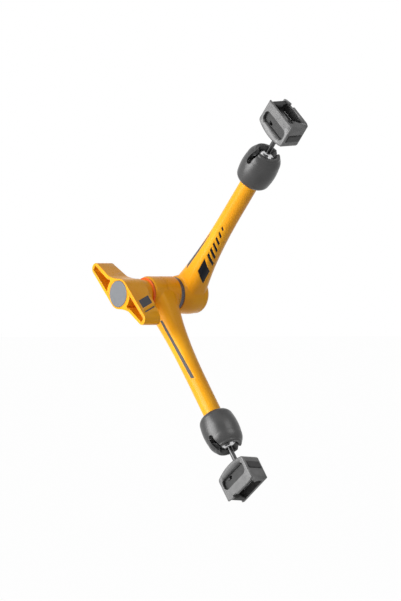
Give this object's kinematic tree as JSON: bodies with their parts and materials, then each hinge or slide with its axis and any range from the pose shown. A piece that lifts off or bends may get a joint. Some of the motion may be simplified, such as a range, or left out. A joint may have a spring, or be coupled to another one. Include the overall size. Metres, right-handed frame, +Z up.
{
  "type": "articulating friction arm",
  "caption": "Articulating friction arm for cameras: tapered arms on a knob-locked elbow, with slotted ball joints and quick-release heads at both ends.",
  "frame": {"origin": "centre of the lower head's mouth, in the plane that the plate's flange rests on", "axes": "+Z up as the arm is pictured, +Y along the elbow's hinge from the knob to the back, both arms lie in planes of constant Y"},
  "size_m": [0.138, 0.0648, 0.2482],
  "materials": {
    "yellow_metal": "gloss anodised, warm yellow",
    "dark_metal": "polished and anodised dark grey",
    "head_metal": "milled, anodised mid grey, satin",
    "latch_metal": "milled, anodised light grey, satin",
    "dark_steel": "turned, blackened",
    "steel": "turned, plain",
    "cap_grey": "fine bead-blasted",
    "black_inlay": "smooth black fill",
    "grey_inlay": "matt dark grey fill",
    "dark_ring": "hard fibre, fine matt",
    "orange_washer": "smooth moulded",
    "seat_plastic": "moulded, natural"
  },
  "bodies": {
    "lower_head": {"lower_head": "head_metal", "lower_latch_pin": "dark_steel"},
    "lower_latch": {"lower_latch": "latch_metal", "lower_latch_spring": "steel"},
    "lower_stud": {"lower_ball_stud": "dark_steel", "lower_ball_screw": "steel"},
    "lower_seat": {"lower_ball_seat": "seat_plastic"},
    "lower_arm": {"lower_arm": "yellow_metal", "lower_arm_strip": "grey_inlay", "lower_socket": "dark_metal", "friction_ring": "dark_ring", "thrust_washer": "orange_washer"},
    "knob": {"locking_knob": "yellow_metal", "knob_inlays": "black_inlay", "knob_cap": "cap_grey", "knob_bush": "steel"},
    "centre_bolt": {"centre_bolt": "steel"},
    "lower_rod": {"lower_push_rod": "steel"},
    "upper_arm": {"upper_arm": "yellow_metal", "upper_arm_strip": "grey_inlay", "upper_arm_inlays": "black_inlay", "upper_socket": "dark_metal", "rear_cover": "yellow_metal", "disc_spring": "steel"},
    "upper_rod": {"upper_push_rod": "steel"},
    "upper_seat": {"upper_ball_seat": "seat_plastic"},
    "upper_stud": {"upper_ball_stud": "dark_steel", "upper_ball_screw": "steel"},
    "upper_head": {"upper_head": "head_metal", "upper_latch_pin": "dark_steel"},
    "upper_latch": {"upper_latch": "latch_metal", "upper_latch_spring": "steel"}
  },
  "joints": [
    {"name": "lower_latch_press", "type": "slide", "parent": "lower_head", "child": "lower_latch", "axis": [-0.7882, -0.0872, -0.6092], "range_m": [0, 0.002], "stiffness_N_per_m": 900, "springref_m": -0.004, "deforming": ["lower_latch_spring"]},
    {"name": "lower_head_swivel", "type": "hinge", "parent": "lower_head", "child": "lower_stud", "pos_m": [-0.02227, 0.00011, 0.03094], "axis": [0.6115, 0, -0.7912], "continuous": true},
    {"name": "lower_ball_tilt", "type": "hinge", "parent": "lower_stud", "child": "lower_seat", "pos_m": [-0.02227, 0.00011, 0.03094], "axis": [-0.7912, 0, -0.6115], "range_deg": [-90, 90]},
    {"name": "lower_ball_rock", "type": "hinge", "parent": "lower_seat", "child": "lower_arm", "pos_m": [-0.02227, 0.00011, 0.03094], "axis": [0, 1, 0], "range_deg": [-28, 28]},
    {"name": "knob_turn", "type": "hinge", "parent": "lower_arm", "child": "knob", "pos_m": [-0.09107, 0.01411, 0.11995], "axis": [0, -1, 0], "range_deg": [0, 360]},
    {"name": "bolt_draw", "type": "slide", "parent": "lower_arm", "child": "centre_bolt", "axis": [0, 1, 0], "range_m": [0, 0.00125]},
    {"name": "lower_rod_slide", "type": "slide", "parent": "lower_arm", "child": "lower_rod", "axis": [0.6115, 0, -0.7912], "range_m": [-0.0004509, 0]},
    {"name": "elbow", "type": "hinge", "parent": "lower_arm", "child": "upper_arm", "pos_m": [-0.09107, 0.01411, 0.11995], "axis": [0, 1, 0], "continuous": true},
    {"name": "upper_rod_slide", "type": "slide", "parent": "upper_arm", "child": "upper_rod", "axis": [0.6833, 0, 0.7302], "range_m": [-0.0004509, 0]},
    {"name": "upper_ball_rock", "type": "hinge", "parent": "upper_arm", "child": "upper_seat", "pos_m": [-0.0142, 0.02381, 0.20209], "axis": [0, 1, 0], "range_deg": [-28, 28]},
    {"name": "upper_ball_tilt", "type": "hinge", "parent": "upper_seat", "child": "upper_stud", "pos_m": [-0.0142, 0.02381, 0.20209], "axis": [0.7302, 0, -0.6833], "range_deg": [-90, 90]},
    {"name": "upper_head_swivel", "type": "hinge", "parent": "upper_stud", "child": "upper_head", "pos_m": [-0.0142, 0.02381, 0.20209], "axis": [0.6833, 0, 0.7302], "continuous": true},
    {"name": "upper_latch_press", "type": "slide", "parent": "upper_head", "child": "upper_latch", "axis": [-0.7274, -0.0872, 0.6807], "range_m": [0, 0.002], "stiffness_N_per_m": 900, "springref_m": -0.004, "deforming": ["upper_latch_spring"]}
  ],
  "couplings": [
    {"joint": "bolt_draw", "follows": "knob_turn", "m_per_rad": 0.00019894},
    {"joint": "lower_rod_slide", "follows": "knob_turn", "m_per_rad": -0.00007162},
    {"joint": "upper_rod_slide", "follows": "knob_turn", "m_per_rad": -0.00007162}
  ]
}
